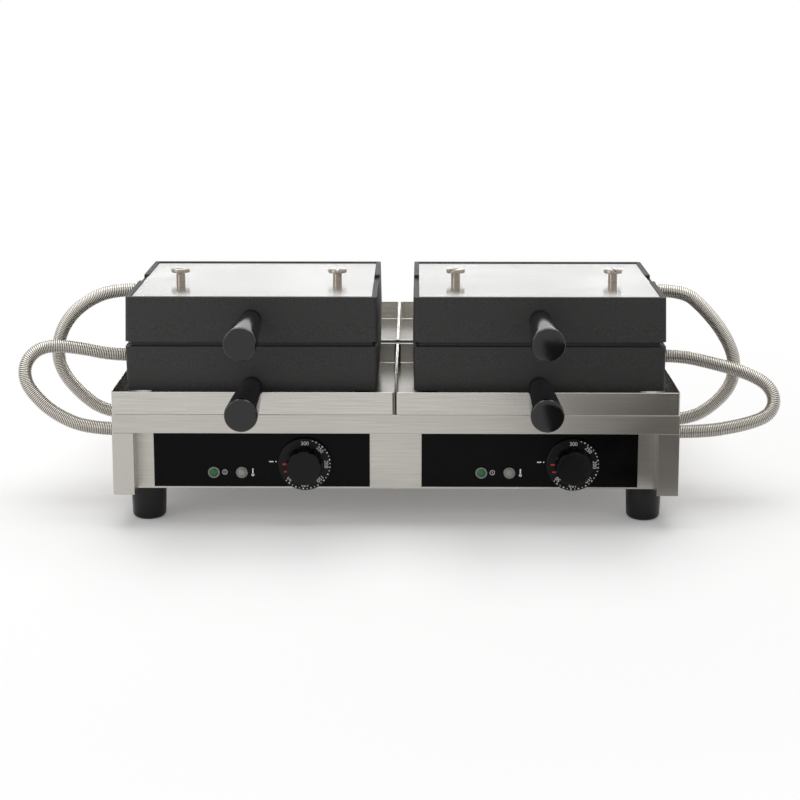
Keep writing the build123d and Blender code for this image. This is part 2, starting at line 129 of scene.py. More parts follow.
def material(name):
    """A new material with an empty node tree."""
    made = bpy.data.materials.new(name)
    made.use_nodes = True
    tree = made.node_tree
    tree.nodes.clear()
    return made, tree


def finish_with(tree, shader):
    """Connects the shader to the material's output."""
    output = tree.nodes.new("ShaderNodeOutputMaterial")
    tree.links.new(shader.outputs[0], output.inputs["Surface"])


def two_tone(tree, share, first, second, **settings):
    """A colour that runs from the first to the second as the share goes from 0 to 1."""
    made = node(tree, "ShaderNodeMix", {0: share}, data_type="RGBA", **settings)
    made.inputs[MIX_A].default_value = first
    made.inputs[MIX_B].default_value = second
    return made.outputs[MIX_RESULT]


def noise(tree, place, scale, detail=2.0, **settings):
    """Fractal noise over the coordinates: with the object's own, scale is features a metre."""
    made = node(tree, "ShaderNodeTexNoise", {"Vector": place}, Scale=scale, Detail=detail, **settings)
    return made.outputs[0]


def spread(tree, value, low, high, **settings):
    """The value's range from low to high, mapped to To_Min and To_Max or to 0 and 1."""
    made = node(tree, "ShaderNodeMapRange", {"Value": value}, From_Min=low, From_Max=high, **settings)
    return made.outputs[0]


def brushed_stainless(name, shade, grain, roughness, stretch=0.45):
    """Type 304 sheet with a belt-brushed face: fine parallel scratches that stretch the
    highlights along the grain. grain gives how many features a metre the scratches have on
    each axis; real ones are about 0.1 mm apart and are drawn about 1 mm apart to show."""
    made, tree = material(name)
    place = node(tree, "ShaderNodeTexCoord")
    along = node(tree, "ShaderNodeMapping", {"Vector": place.outputs["Object"]}, Scale=grain)
    scratch = noise(tree, along.outputs[0], 1.0, 3.0, Roughness=0.6)
    cloud = noise(tree, place.outputs["Object"], 7.0)
    tone = spread(tree, scratch, 0.3, 0.7, To_Min=0.86, To_Max=1.06)
    base = two_tone(tree, tone, BLACK, colour(shade), clamp_factor=False)
    rough = spread(tree, cloud, 0.3, 0.7, To_Min=roughness - 0.04, To_Max=roughness + 0.05)
    bump = node(tree, "ShaderNodeBump", {"Height": scratch}, Strength=0.12, Distance=0.0002)
    shader = node(
        tree, "ShaderNodeBsdfPrincipled", {"Base Color": base, "Roughness": rough, "Normal": bump.outputs[0]},
        Metallic=1.0, Anisotropic=stretch,
    )
    finish_with(tree, shader)
    return made


def wound_strip(name, shade, groove_dirt_and_shade, roughness):
    """Hose of wound steel strip: the crests shine, and the grooves are painted darker, for dirt and as
    painted shade.
    The attribute "groove" is 1 at the foot of each turn."""
    made, tree = material(name)
    place = node(tree, "ShaderNodeTexCoord")
    groove = node(tree, "ShaderNodeAttribute", attribute_name="groove")
    stain = noise(tree, place.outputs["Object"], 60.0)
    # The groove colour is partly dirt and partly painted shade.
    base = two_tone(tree, groove.outputs["Fac"], colour(shade), colour(groove_dirt_and_shade))
    rough = spread(tree, stain, 0.3, 0.7, To_Min=roughness - 0.05, To_Max=roughness + 0.08)
    shader = node(tree, "ShaderNodeBsdfPrincipled", {"Base Color": base, "Roughness": rough}, Metallic=1.0)
    finish_with(tree, shader)
    return made


def textured_coat(name, shade, light, grit, roughness, depth, specular=0.5):
    """A coat with a fine texture, as on cast aluminium housings: it scatters light evenly and
    shows small lighter grains. grit is the grain size in millimetres and depth the bump's
    strength."""
    made, tree = material(name)
    place = node(tree, "ShaderNodeTexCoord")
    grain = noise(tree, place.outputs["Object"], 1000.0 / grit)
    base = two_tone(tree, spread(tree, grain, 0.35, 0.75), colour(shade), colour(light))
    bump = node(tree, "ShaderNodeBump", {"Height": grain}, Strength=depth, Distance=0.0004)
    shader = node(
        tree, "ShaderNodeBsdfPrincipled", {"Base Color": base, "Normal": bump.outputs[0]},
        Roughness=roughness, Specular_IOR_Level=specular,
    )
    finish_with(tree, shader)
    return made


def moulded_plastic(name, shade, roughness, specular=0.5):
    """Moulded plastic: one colour right through, a skin with a faint orange peel."""
    made, tree = material(name)
    place = node(tree, "ShaderNodeTexCoord")
    peel = noise(tree, place.outputs["Object"], 2000.0)
    smear = noise(tree, place.outputs["Object"], 30.0, 3.0)
    rough = spread(tree, smear, 0.35, 0.65, To_Min=roughness * 0.8, To_Max=roughness * 1.25)
    bump = node(tree, "ShaderNodeBump", {"Height": peel}, Strength=0.03, Distance=0.0002)
    shader = node(
        tree, "ShaderNodeBsdfPrincipled", {"Roughness": rough, "Normal": bump.outputs[0]},
        Base_Color=colour(shade), Specular_IOR_Level=specular,
    )
    finish_with(tree, shader)
    return made


def plated_metal(name, shade, roughness):
    """Turned and plated metal: a mirror with soft turning marks."""
    made, tree = material(name)
    place = node(tree, "ShaderNodeTexCoord")
    marks = noise(tree, place.outputs["Object"], 900.0)
    rough = spread(tree, marks, 0.3, 0.7, To_Min=roughness * 0.7, To_Max=roughness * 1.4)
    shader = node(
        tree, "ShaderNodeBsdfPrincipled", {"Roughness": rough}, Base_Color=colour(shade), Metallic=1.0
    )
    finish_with(tree, shader)
    return made


def clear_lens(name, shade, glow):
    """A clear moulded lamp lens; glow is the strength of the lamp behind it."""
    made, tree = material(name)
    place = node(tree, "ShaderNodeTexCoord")
    facets = node(tree, "ShaderNodeTexVoronoi", {"Vector": place.outputs["Object"]}, Scale=700.0)
    bump = node(
        tree, "ShaderNodeBump", {"Height": facets.outputs["Distance"]}, Strength=0.25, Distance=0.0004
    )
    shader = node(
        tree, "ShaderNodeBsdfPrincipled", {"Normal": bump.outputs[0]},
        Base_Color=colour(shade), Roughness=0.08, Emission_Color=colour(shade), Emission_Strength=glow,
    )
    finish_with(tree, shader)
    return made


# Features of the grain in a metre of X, Y and Z
LEVEL_GRAIN = (14.0, 900.0, 900.0)  # scratches run along X
DEPTH_GRAIN = (900.0, 14.0, 900.0)  # scratches run along Y
front_steel = brushed_stainless("brushed_stainless_front", "BDB9B3", LEVEL_GRAIN, 0.30)
side_steel = brushed_stainless("brushed_stainless_side", "BDB9B3", DEPTH_GRAIN, 0.30)
tray_steel = brushed_stainless("brushed_stainless_tray", "C2BFB9", LEVEL_GRAIN, 0.24)
cover_steel = brushed_stainless("polished_stainless_cover", "D6D6D4", LEVEL_GRAIN, 0.13, stretch=0.0)
# 3A3733 is the colour painted into the hose grooves, for dirt and as painted shade.
hose_steel = wound_strip("wound_strip_steel", "C9C5BD", "3A3733", 0.30)
casing_coat = textured_coat("textured_casing_coat", "242323", "3C3B3A", 0.9, 0.6, 0.3, 0.35)
beam_coat = textured_coat("satin_black_steel", "161617", "2A2A2B", 1.2, 0.42, 0.1)
cast_iron = textured_coat("seasoned_cast_iron", "19191A", "303031", 1.4, 0.45, 0.3)
handle_bakelite = moulded_plastic("black_bakelite", "060607", 0.12)
knob_plastic = moulded_plastic("satin_black_knob", "060607", 0.34, specular=0.2)
foot_plastic = moulded_plastic("satin_black_foot", "0E0E0F", 0.38, specular=0.3)
label_film = moulded_plastic("black_label_film", "050506", 0.30, specular=0.08)
gland_plastic = moulded_plastic("black_gland", "121213", 0.5)
inner_plastic = moulded_plastic("plain_inner_plastic", "4A4A48", 0.5)
lock_nickel = plated_metal("satin_nickel", "938A7F", 0.26)
bright_steel = plated_metal("bright_zinc_steel", "CFCFCF", 0.28)
bezel_chrome = plated_metal("chromed_bezel", "787875", 0.2)
element_steel = plated_metal("dull_element_steel", "8E8A85", 0.45)
white_print = moulded_plastic("white_print", "E6E6E4", 0.5)
red_print = moulded_plastic("red_print", "C41E1E", 0.5)
card_grey = moulded_plastic("matt_grey_card", "5E5A57", 0.9, specular=0.0)
green_lens = clear_lens("green_lens", "07592B", 0.1)
pale_lens = clear_lens("pale_lens", "8C8B86", 0.0)

FINISHES = {
    "brushed": front_steel,
    "tray_steel": tray_steel,
    "cover_steel": cover_steel,
    "dark_steel": beam_coat,
    "casing": casing_coat,
    "iron": cast_iron,
    "element": element_steel,
    "handle": handle_bakelite,
    "lock": lock_nickel,
    "screw": bright_steel,
    "foot_plastic": foot_plastic,
    "gland_plastic": gland_plastic,
    "label": label_film,
    "inner_plastic": inner_plastic,
    "green_lens": green_lens,
    "clear_lens": pale_lens,
    "bezel": bezel_chrome,
    "knob": knob_plastic,
    "hose": hose_steel,
}


def paint(thing, made):
    """Gives the object one material in place of what it has."""
    thing.data.materials.clear()
    thing.data.materials.append(made)


for name, thing in nodes.items():
    paint(thing, FINISHES[slot_of[name]])
for name in ("left_side_panel", "right_side_panel"):
    paint(nodes[name], side_steel)


# Tools for the pieces

MERGE = 1e-6  # points nearer than this are one point, in metres
FLAT_ANGLE = 0.5  # faces that meet at less are one face, in degrees
EDGE_ANGLE = 35.0  # edges sharper than this get a bevel
SMOOTH_ANGLE = 30.0
BEVEL_STEPS = 3


def new_object(name, data):
    """An object of its own in the scene."""
    thing = bpy.data.objects.new(name, data)
    bpy.context.scene.collection.objects.link(thing)
    return thing


def only(thing):
    """Deselects everything and makes one object the active one."""
    bpy.ops.object.select_all(action="DESELECT")
    thing.select_set(True)
    bpy.context.view_layer.objects.active = thing


def drop(thing):
    """Takes a helper out of the scene."""
    bpy.data.objects.remove(thing, do_unlink=True)


def join(things, name):
    """Joins the objects into the first of them."""
    only(things[0])
    for thing in things:
        thing.select_set(True)
    bpy.ops.object.join()
    things[0].name = name
    return things[0]


def apply_modifier(thing, kind, **settings):
    """Adds a modifier with these settings and applies it."""
    made = thing.modifiers.new(kind.lower(), kind)
    for name, value in settings.items():
        setattr(made, name, value)
    only(thing)
    bpy.ops.object.modifier_apply(modifier=made.name)


def place_mesh(thing, matrix):
    """Moves the mesh and leaves the object at the origin, unturned."""
    thing.data.transform(matrix)
    thing.matrix_world = Matrix.Identity(4)
    if matrix.determinant() < 0:
        thing.data.flip_normals()
    thing.data.update()


def facing_front(x, y, z):
    """Turns a drawing in the XY plane to face the front, at a place in metres."""
    return Matrix.Translation((x, y, z)) @ Matrix.Rotation(math.radians(90), 4, "X")


def recalculate_outside(thing):
    """Merges doubled points and turns every face outwards."""
    mesh = bmesh.new()
    mesh.from_mesh(thing.data)
    bmesh.ops.remove_doubles(mesh, verts=mesh.verts, dist=MERGE)
    bmesh.ops.recalc_face_normals(mesh, faces=mesh.faces)
    mesh.to_mesh(thing.data)
    mesh.free()


def flatten_faces(thing):
    """Keeps broad flat faces flat in the shading, next to narrow bevels."""
    apply_modifier(thing, "WEIGHTED_NORMAL", mode="FACE_AREA", weight=100, keep_sharp=True)


def smooth(thing, degrees=35.0):
    """Shades faces smooth where they meet at less than this angle."""
    only(thing)
    bpy.ops.object.shade_smooth_by_angle(angle=math.radians(degrees))


def quarter_round(steps):
    """Cosine and sine of evenly spaced angles from 0 to 90 degrees."""
    turns = [math.pi / 2 * i / steps for i in range(steps + 1)]
    return [(math.cos(a), math.sin(a)) for a in turns]


def turned(name, profile, steps=64):
    """A solid of revolution about Z: profile is (radius, height) in mm from the axis at the
    bottom to the axis at the top, spun in edit mode."""
    mesh = bpy.data.meshes.new(name)
    points = [(r * MM, 0.0, z * MM) for r, z in profile]
    mesh.from_pydata(points, [(i, i + 1) for i in range(len(points) - 1)], [])
    thing = new_object(name, mesh)
    only(thing)
    bpy.ops.object.mode_set(mode="EDIT")
    bpy.ops.mesh.select_all(action="SELECT")
    bpy.ops.mesh.spin(steps=steps, angle=2 * math.pi, center=(0, 0, 0), axis=(0, 0, 1))
    bpy.ops.mesh.select_all(action="SELECT")
    bpy.ops.mesh.remove_doubles(threshold=MERGE)
    bpy.ops.object.mode_set(mode="OBJECT")
    recalculate_outside(thing)
    smooth(thing)
    return thing


def disc_mesh(name, radius, thick, sides=16):
    """A disc in the XY plane, in millimetres."""
    bpy.ops.object.select_all(action="DESELECT")
    bpy.ops.mesh.primitive_cylinder_add(vertices=sides, radius=radius * MM, depth=thick * MM)
    thing = bpy.context.view_layer.objects.active
    thing.name = name
    return thing


def bar_mesh(name, wide, high, thick):
    """A flat bar in the XY plane, in millimetres."""
    bpy.ops.object.select_all(action="DESELECT")
    bpy.ops.mesh.primitive_cube_add(size=MM)
    thing = bpy.context.view_layer.objects.active
    thing.name = name
    thing.data.transform(Matrix.Diagonal((wide, high, thick, 1)))
    return thing


def copied(name, thing, matrix):
    """A copy with its own mesh, placed."""
    other = new_object(name, thing.data.copy())
    place_mesh(other, matrix)
    return other


def stand_in(thing, cad_node, made):
    """The piece takes the node's place, body and finish."""
    paint(thing, made)
    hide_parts(cad_node)
    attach(thing, body_of_node[cad_node])


def add_piece(thing, made, body):
    """The piece rides a body and stands for no CAD node."""
    paint(thing, made)
    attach(thing, body)


def softened(cad_node, width, made):
    """The CAD piece again with its sharp edges broken by a small bevel, its width in mm."""
    thing = new_object(cad_node + "_soft", nodes[cad_node].data.copy())
    mesh = bmesh.new()
    mesh.from_mesh(thing.data)
    bmesh.ops.remove_doubles(mesh, verts=mesh.verts, dist=MERGE)
    bmesh.ops.dissolve_limit(
        mesh, angle_limit=math.radians(FLAT_ANGLE), verts=mesh.verts, edges=mesh.edges,
        use_dissolve_boundaries=False,
    )
    mesh.to_mesh(thing.data)
    mesh.free()
    apply_modifier(
        thing, "BEVEL", width=width * MM, segments=BEVEL_STEPS, limit_method="ANGLE",
        angle_limit=math.radians(EDGE_ANGLE), use_clamp_overlap=True, harden_normals=False,
    )
    smooth(thing, SMOOTH_ANGLE)
    flatten_faces(thing)
    stand_in(thing, cad_node, made)


# Conduits: wound strip hoses between the shells and the side panels. The points are the
# same as the CAD routes': how far out from the middle and how high, in millimetres.

ROUTES = {
    "left_lower": (
        (340, 172.9), (374, 181.5), (408, 186.5), (427, 182.5), (440, 169), (441.5, 150), (431, 132),
        (405, 108.5), (364, 92),
    ),
    "left_upper": (
        (338, 251.9), (371, 237), (396, 213), (408.5, 182), (406, 151), (385, 121), (353.6, 95.5),
    ),
    "right_lower": (
        (339, 172.9), (372, 166), (404, 158.5), (428, 149.5), (442.5, 139.5), (449, 124.5), (443.5, 109.5),
        (428, 101.5), (400, 95), (362, 90),
    ),
    "right_upper": (
        (340, 251.9), (364, 232), (390, 201), (406, 168), (405, 136), (387, 110), (356, 88),
    ),
}
# Where each conduit enters the side panel: how far behind the front lip, and how high
PANEL_ENDS = {
    "left_lower": (94.0, 92.0),
    "left_upper": (158.0, 95.5),
    "right_lower": (94.0, 90.0),
    "right_upper": (158.0, 88.0),
}
SPLINE_STEPS = 24
HOSE_D = 16.0
RIB_PITCH = 2.1
RIB_DEPTH = 1.0
SHOULDER = 0.12  # how far a crest's shoulders lie under its top
RINGS_PER_RIB = 4
RING_STEP = RIB_PITCH * MM / RINGS_PER_RIB
RING_SIDES = 26


def route_points(name):
    """Control points in metres, from the shell's gland to the side panel's. On the way the
    depth goes evenly from one gland's to the other's."""
    side = -1 if name.startswith("left") else 1
    gland_low, gland_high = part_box(name + "_gland")
    start_x = max(abs(gland_low.x), abs(gland_high.x))
    start_y = (gland_low.y + gland_high.y) / 2
    start_z = (gland_low.z + gland_high.z) / 2
    front_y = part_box("deck")[0].y
    end_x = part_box("chassis_glands")[1].x
    behind, end_z = PANEL_ENDS[name]
    end_y = behind * MM + front_y
    flat = [(start_x, start_z)] + [(x * MM, z * MM) for x, z in ROUTES[name]] + [(end_x, end_z * MM)]
    points = []
    for i, (x, z) in enumerate(flat):
        share = min(max((i - 1) / (len(flat) - 3), 0), 1)
        points.append(Vector((side * x, start_y + (end_y - start_y) * share, z)))
    return points


def spline_line(name):
    """Points down the smooth curve that has the route's points as its control points."""
    points = route_points(name)
    data = bpy.data.curves.new(name + "_line", "CURVE")
    data.dimensions = "3D"
    spline = data.splines.new("NURBS")
    spline.points.add(len(points) - 1)
    for control, point in zip(spline.points, points):
        control.co = (*point, 1.0)
    spline.order_u = 3
    spline.use_endpoint_u = True
    data.resolution_u = SPLINE_STEPS
    thing = bpy.data.objects.new(name + "_line", data)
    mesh = bpy.data.meshes.new_from_object(thing)
    line = [v.co.copy() for v in mesh.vertices]
    bpy.data.objects.remove(thing)
    bpy.data.meshes.remove(mesh)
    return line


def ring_centres(line):
    """Places for the rings along the curve's line, a ring step apart, and the line's length."""
    lengths = [0.0]
    for a, b in zip(line, line[1:]):
        lengths.append(lengths[-1] + (b - a).length)
    total = lengths[-1]
    count = max(2, round(total / RING_STEP))
    centres = []
    k = 0
    for i in range(count + 1):
        want = total * i / count
        while k < len(lengths) - 2 and lengths[k + 1] < want:
            k += 1
        span = max(lengths[k + 1] - lengths[k], 1e-9)
        centres.append(line[k].lerp(line[k + 1], min(max((want - lengths[k]) / span, 0), 1)))
    return centres, total


def ribbed_tube(name, centres):
    """A wound strip hose round the centres: each turn is a rounded crest with a narrow groove."""
    crest = HOSE_D / 2 * MM
    groove = (HOSE_D / 2 - RIB_DEPTH) * MM
    shoulder = crest - SHOULDER * MM
    radii = (groove, shoulder, crest, shoulder)
    steady = Vector((0, 1, 0))
    rings = len(centres)
    verts = []
    for i, at in enumerate(centres):
        ahead = centres[min(i + 1, rings - 1)] - centres[max(i - 1, 0)]
        ahead.normalize()
        across = (steady - ahead * steady.dot(ahead)).normalized()
        up = ahead.cross(across)
        for k in range(RING_SIDES):
            a = 2 * math.pi * k / RING_SIDES
            verts.append(at + (across * math.cos(a) + up * math.sin(a)) * radii[i % RINGS_PER_RIB])
    faces = []
    for i in range(rings - 1):
        for k in range(RING_SIDES):
            a = i * RING_SIDES + k
            b = i * RING_SIDES + (k + 1) % RING_SIDES
            faces.append((a, b, b + RING_SIDES, a + RING_SIDES))
    faces.append(tuple(reversed(range(RING_SIDES))))
    faces.append(tuple((rings - 1) * RING_SIDES + k for k in range(RING_SIDES)))
    mesh = bpy.data.meshes.new(name)
    mesh.from_pydata(verts, [], faces)
    thing = new_object(name, mesh)
    recalculate_outside(thing)
    # Marks the groove rings, which the hose material paints darker, for dirt and as painted shade.
    marks = thing.data.attributes.new("groove", "FLOAT", "POINT")
    for i, mark in enumerate(marks.data):
        mark.value = 1.0 if (i // RING_SIDES) % RINGS_PER_RIB == 0 else 0.0
    smooth(thing, 50.0)
    return thing


def add_conduit(name, line, cad_node):
    """A conduit piece along the line, which runs between two bodies, in place of the CAD node."""
    centres, total = ring_centres(line)
    thing = ribbed_tube(name, centres)
    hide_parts(cad_node)
    paint(thing, hose_steel)
    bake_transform(thing)


def make_hoses():
    """A lower conduit joins two bodies. An upper one meets three, so it is in two halves that
    part at a groove."""
    for iron in IRONS:
        lower = iron + "_lower"
        upper = iron + "_upper"
        line = spline_line(lower)
        add_conduit(lower + "_conduit", line, lower + "_hose")
        line, _ = ring_centres(spline_line(upper))
        half = len(line) // (2 * RINGS_PER_RIB) * RINGS_PER_RIB
        shell_half = line[: half + 1]
        chassis_half = line[half:]
        name = upper + "_conduit_shell_half"
        add_conduit(name, shell_half, upper + "_hose")
        name = upper + "_conduit_chassis_half"
        add_conduit(name, chassis_half, upper + "_hose")


make_hoses()


# Handles: glossy grips that swell from a narrow neck to a flat tip

HANDLE_NECK_R = 11.25
HANDLE_EDGE = 2.2
HANDLE_RIM = 6.0  # from the side to the edge of the tip's dome
HANDLE_DOME_FROM = 0.15
HANDLE_DOME = 0.5
# How far along the grip, and what share of the swell from neck to tip is reached there
HANDLE_SWELL = (
    (0.0, 0.0), (0.06, 0.0), (0.1, 0.03), (0.16, 0.14), (0.22, 0.28), (0.32, 0.44), (0.45, 0.59),
    (0.6, 0.75), (0.8, 0.92), (0.94, 0.99),
)


def make_handles():
    """One grip, copied to the four shells."""
    low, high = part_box("left_upper_handle")
    length = (high.y - low.y) / MM
    tip = (high.x - low.x) / 2 / MM
    edge_r = tip - HANDLE_EDGE
    edge_z = length - HANDLE_EDGE
    swell = tip - HANDLE_NECK_R
    profile = [(0, 0)]
    profile += [(HANDLE_NECK_R + swell * grow, length * along) for along, grow in HANDLE_SWELL]
    profile += [(edge_r + HANDLE_EDGE * c, edge_z + HANDLE_EDGE * s) for c, s in quarter_round(5)]
    profile += [(tip - HANDLE_RIM, length + HANDLE_DOME_FROM), (0, length + HANDLE_DOME)]
    grip = turned("grip", profile)
    for iron in IRONS:
        for shell in SHELLS:
            name = iron + "_" + shell + "_handle"
            centre = middle(name)
            at = facing_front(centre.x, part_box(name)[1].y, centre.z)
            stand_in(copied(name + "_grip", grip, at), name, handle_bakelite)
    drop(grip)


make_handles()


# Feet: moulded, with a rounded bottom edge and a shallow ring under the top

FOOT_R = 20.5
FOOT_EDGE = 5.5
FOOT_TAPER = 1.2
FOOT_BORE_R = 7
FOOT_BORE_DEPTH = 9
# The ring, as how far in from the side and how far under the top
FOOT_RING = ((0.3, 6), (0.3, 5), (0, 4.6), (0, 0))


def make_feet():
    """Four feet in one piece, at the corners of the node's box."""
    low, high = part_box("feet")
    height = (high.z - low.z) / MM
    edge_r = FOOT_R - FOOT_TAPER - FOOT_EDGE
    profile = [(0, FOOT_BORE_DEPTH), (FOOT_BORE_R, FOOT_BORE_DEPTH), (FOOT_BORE_R, 0)]
    profile += [(edge_r + FOOT_EDGE * s, FOOT_EDGE - FOOT_EDGE * c) for c, s in quarter_round(6)]
    profile += [(FOOT_R - inwards, height - under) for inwards, under in FOOT_RING]
    profile += [(0, height)]
    foot = turned("foot", profile)
    copies = []
    for side in (-1, 1):
        for y in (low.y + FOOT_R * MM, high.y - FOOT_R * MM):
            x = (high.x - FOOT_R * MM) * side
            copies.append(copied("foot_copy", foot, Matrix.Translation((x, y, low.z))))
    drop(foot)
    stand_in(join(copies, "moulded_feet"), "feet", foot_plastic)


make_feet()


# Plate locks: slotted round heads on plain shanks

LOCK_HEAD_R = 11.0
LOCK_HEAD_T = 4.0
LOCK_SHANK_R = 5.25
LOCK_TOP = 14.5  # from the cover to the top of the head
LOCK_TAIL = 6.0
LOCK_EDGE = 0.6
LOCK_TAIL_EDGE = 0.5
LOCK_SLOT = (30, 2.4, 3.2)
LOCK_SLOT_EDGE = 0.25
LOCK_SLOT_ANGLE = 50.0  # edges sharper than this are the slot's
# How far the slots of a shell's two locks are turned, in degrees
LOCK_TURNS = {
    "left_upper": (20, 90),
    "left_lower": (0, 60),
    "right_upper": (55, 100),
    "right_lower": (30, 75),
}


def make_stud():
    """One lock, standing on the cover's plane with its head up."""
    under = LOCK_TOP - LOCK_HEAD_T
    corner = 0.35 * LOCK_EDGE
    profile = [
        (0, -LOCK_TAIL),
        (LOCK_SHANK_R - LOCK_TAIL_EDGE, -LOCK_TAIL),
        (LOCK_SHANK_R, LOCK_TAIL_EDGE - LOCK_TAIL),
        (LOCK_SHANK_R, under),
        (LOCK_HEAD_R - LOCK_EDGE, under),
        (LOCK_HEAD_R, under + LOCK_EDGE),
        (LOCK_HEAD_R, LOCK_TOP - LOCK_EDGE),
        (LOCK_HEAD_R - corner, LOCK_TOP - corner),
        (LOCK_HEAD_R - LOCK_EDGE * 1.6, LOCK_TOP),
        (0, LOCK_TOP),
    ]
    stud = turned("stud", profile, 48)
    cutter = bar_mesh("slot_cutter", *LOCK_SLOT)
    cutter.data.transform(Matrix.Translation((0, 0, LOCK_TOP * MM)))
    apply_modifier(stud, "BOOLEAN", operation="DIFFERENCE", object=cutter, solver="EXACT")
    drop(cutter)
    apply_modifier(
        stud, "BEVEL", width=LOCK_SLOT_EDGE * MM, segments=2, limit_method="ANGLE",
        angle_limit=math.radians(LOCK_SLOT_ANGLE),
    )
    smooth(stud, SMOOTH_ANGLE)
    return stud


def make_locks():
    """Eight locks: heads up on the upper shells and heads down on the lower ones."""
    stud = make_stud()
    for iron in IRONS:
        for shell in SHELLS:
            for letter, turn in zip("ab", LOCK_TURNS[iron + "_" + shell]):
                name = iron + "_" + shell + "_lock_" + letter
                low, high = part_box(name)
                centre = middle(name)
                if shell == "upper":
                    at = Matrix.Translation((centre.x, centre.y, high.z - LOCK_TOP * MM))
                else:
                    at = Matrix.Translation((centre.x, centre.y, low.z + LOCK_TOP * MM))
                    at = at @ Matrix.Rotation(math.pi, 4, "X")
                place = at @ Matrix.Rotation(math.radians(turn), 4, "Z")
                stand_in(copied(name + "_stud", stud, place), name, lock_nickel)
    drop(stud)


make_locks()


# Sheet and cast parts keep their CAD form and get broken edges, this wide in millimetres

CASING_EDGE = 0.8
COVER_EDGE = 0.3
TRAY_EDGE = 0.55
SIDE_PANEL_EDGE = 0.35
DECK_EDGE = 0.9
FRONT_PANEL_EDGE = 0.3
BEAM_EDGE = 0.5

for iron in IRONS:
    for shell in SHELLS:
        softened(iron + "_" + shell + "_casing", CASING_EDGE, casing_coat)
        softened(iron + "_" + shell + "_cover", COVER_EDGE, cover_steel)
    for end in ("front", "rear"):
        softened(end + "_" + iron + "_tray", TRAY_EDGE, tray_steel)
    softened(iron + "_side_panel", SIDE_PANEL_EDGE, side_steel)
softened("deck", DECK_EDGE, front_steel)
softened("front_panel", FRONT_PANEL_EDGE, front_steel)
softened("hinge_beam", BEAM_EDGE, beam_coat)


# Dials: a skirt and a fluted grip, with printed numbers and dots. Angles are in degrees
# against the clock from the right-hand side.

SKIRT_R = 31.0
GRIP_R = 20.5
GRIP_TOP = 21.0  # from the back of the skirt to the front of the grip
# The sides, as how far in from the radius and how far from the back
SKIRT_SIDE = ((0, 0), (0, 1.8), (0.4, 2.5), (1.2, 3.0))
GRIP_SIDE = ((-0.4, 2.8), (0, 3.6), (0.55, 19.8), (0.9, 20.6), (1.8, GRIP_TOP), (4, 20.7))
FLUTES = 8
FLUTE_DEPTH = 1.1
FLUTE_SHARE = 0.28  # the part of a wave's height that cuts in
FLUTE_RIM = 2.4
FLUTE_FOOT = 3.3
PRINT_T = 0.12
DOT_T = 0.5
DOT_SIZES = (0.6, 0.85)
DOT_R = 28.7
DOT_COUNT = 25
DOTS_FROM = 222.0
DOTS_TO = 432.0
DOT_LEVEL = 2.9  # how far the middle of a dot stands from the skirt's back
NUMBER_R = 24.3
NUMBER_SIZE = 6.2
NUMBER_LEVEL = 3.05
OFF_AT = 180.0
FULL_TURN = 270.0
FULL_HEAT = 300
HEAT_STEP = 50
RED_R = 23.4
RED_BAR = (4.4, 2.0, 0.5)
RED_TURNS = (0.0, 22.0)


def text_mesh(name, words, size):
    """Printed letters as a thin raised mesh, centred on the origin in the XY plane."""
    data = bpy.data.curves.new(name, "FONT")
    data.body = words
    data.size = size * MM
    data.align_x = "CENTER"
    data.align_y = "CENTER"
    data.extrude = PRINT_T * MM / 2
    thing = new_object(name, data)
    only(thing)
    bpy.ops.object.convert(target="MESH")
    return bpy.context.view_layer.objects.active


def knob_profile(radius, side):
    """From the axis at the back, along the side and to the axis at the front."""
    back = (0, side[0][1])
    front = (0, side[-1][1])
    return [back] + [(radius - inwards, z) for inwards, z in side] + [front]


def on_dial(centre, y, radius, degrees):
    """Faces the front, at a place on a circle round the dial's axis."""
    a = math.radians(degrees)
    return facing_front(centre.x + radius * MM * math.cos(a), y, centre.z + radius * MM * math.sin(a))


def cut_flutes(grip):
    """Draws the grip's side in at narrow hollows between broad lands."""
    for v in grip.data.vertices:
        r = math.hypot(v.co.x, v.co.y)
        if r > (GRIP_R - FLUTE_RIM) * MM and v.co.z > FLUTE_FOOT * MM:
            wave = 0.5 - 0.5 * math.cos(FLUTES * math.atan2(v.co.y, v.co.x))
            dip = 1 - FLUTE_DEPTH * MM * max(0.0, wave - 1 + FLUTE_SHARE) / FLUTE_SHARE / r
            v.co.x *= dip
            v.co.y *= dip


def make_dial(iron):
    """The dial's moulding, its white print and its red marks, all on the dial's body."""
    name = iron + "_thermostat_knob"
    body = body_of_node[name]
    centre = middle(name)
    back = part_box(name)[0].y + GRIP_TOP * MM
    skirt = turned(name + "_skirt", knob_profile(SKIRT_R, SKIRT_SIDE), 96)
    place_mesh(skirt, facing_front(centre.x, back, centre.z))
    grip = turned(name + "_grip", knob_profile(GRIP_R, GRIP_SIDE), 96)
    cut_flutes(grip)
    place_mesh(grip, facing_front(centre.x, back, centre.z))
    whole = join([skirt, grip], name + "_moulding")
    smooth(whole, SMOOTH_ANGLE)
    stand_in(whole, name, knob_plastic)
    face = back - DOT_LEVEL * MM
    marks = []
    for i in range(DOT_COUNT):
        dot = disc_mesh("dot", DOT_SIZES[i % 2], DOT_T, 10)
        at = DOTS_FROM + (DOTS_TO - DOTS_FROM) * i / (DOT_COUNT - 1)
        place_mesh(dot, on_dial(centre, face, DOT_R, at))
        marks.append(dot)
    for heat in range(HEAT_STEP, FULL_HEAT + 1, HEAT_STEP):
        at = OFF_AT + heat * FULL_TURN / FULL_HEAT
        number = text_mesh("number", str(heat), NUMBER_SIZE)
        upright = Matrix.Rotation(math.radians(at - 90), 4, "Z")
        place_mesh(number, on_dial(centre, back - NUMBER_LEVEL * MM, NUMBER_R, at) @ upright)
        marks.append(number)
    add_piece(join(marks, name + "_numbers"), white_print, body)
    reds = []
    for turn in RED_TURNS:
        bar = bar_mesh("red", *RED_BAR)
        place_mesh(bar, on_dial(centre, face, RED_R, OFF_AT + turn))
        reds.append(bar)
    add_piece(join(reds, name + "_off_marks"), red_print, body)


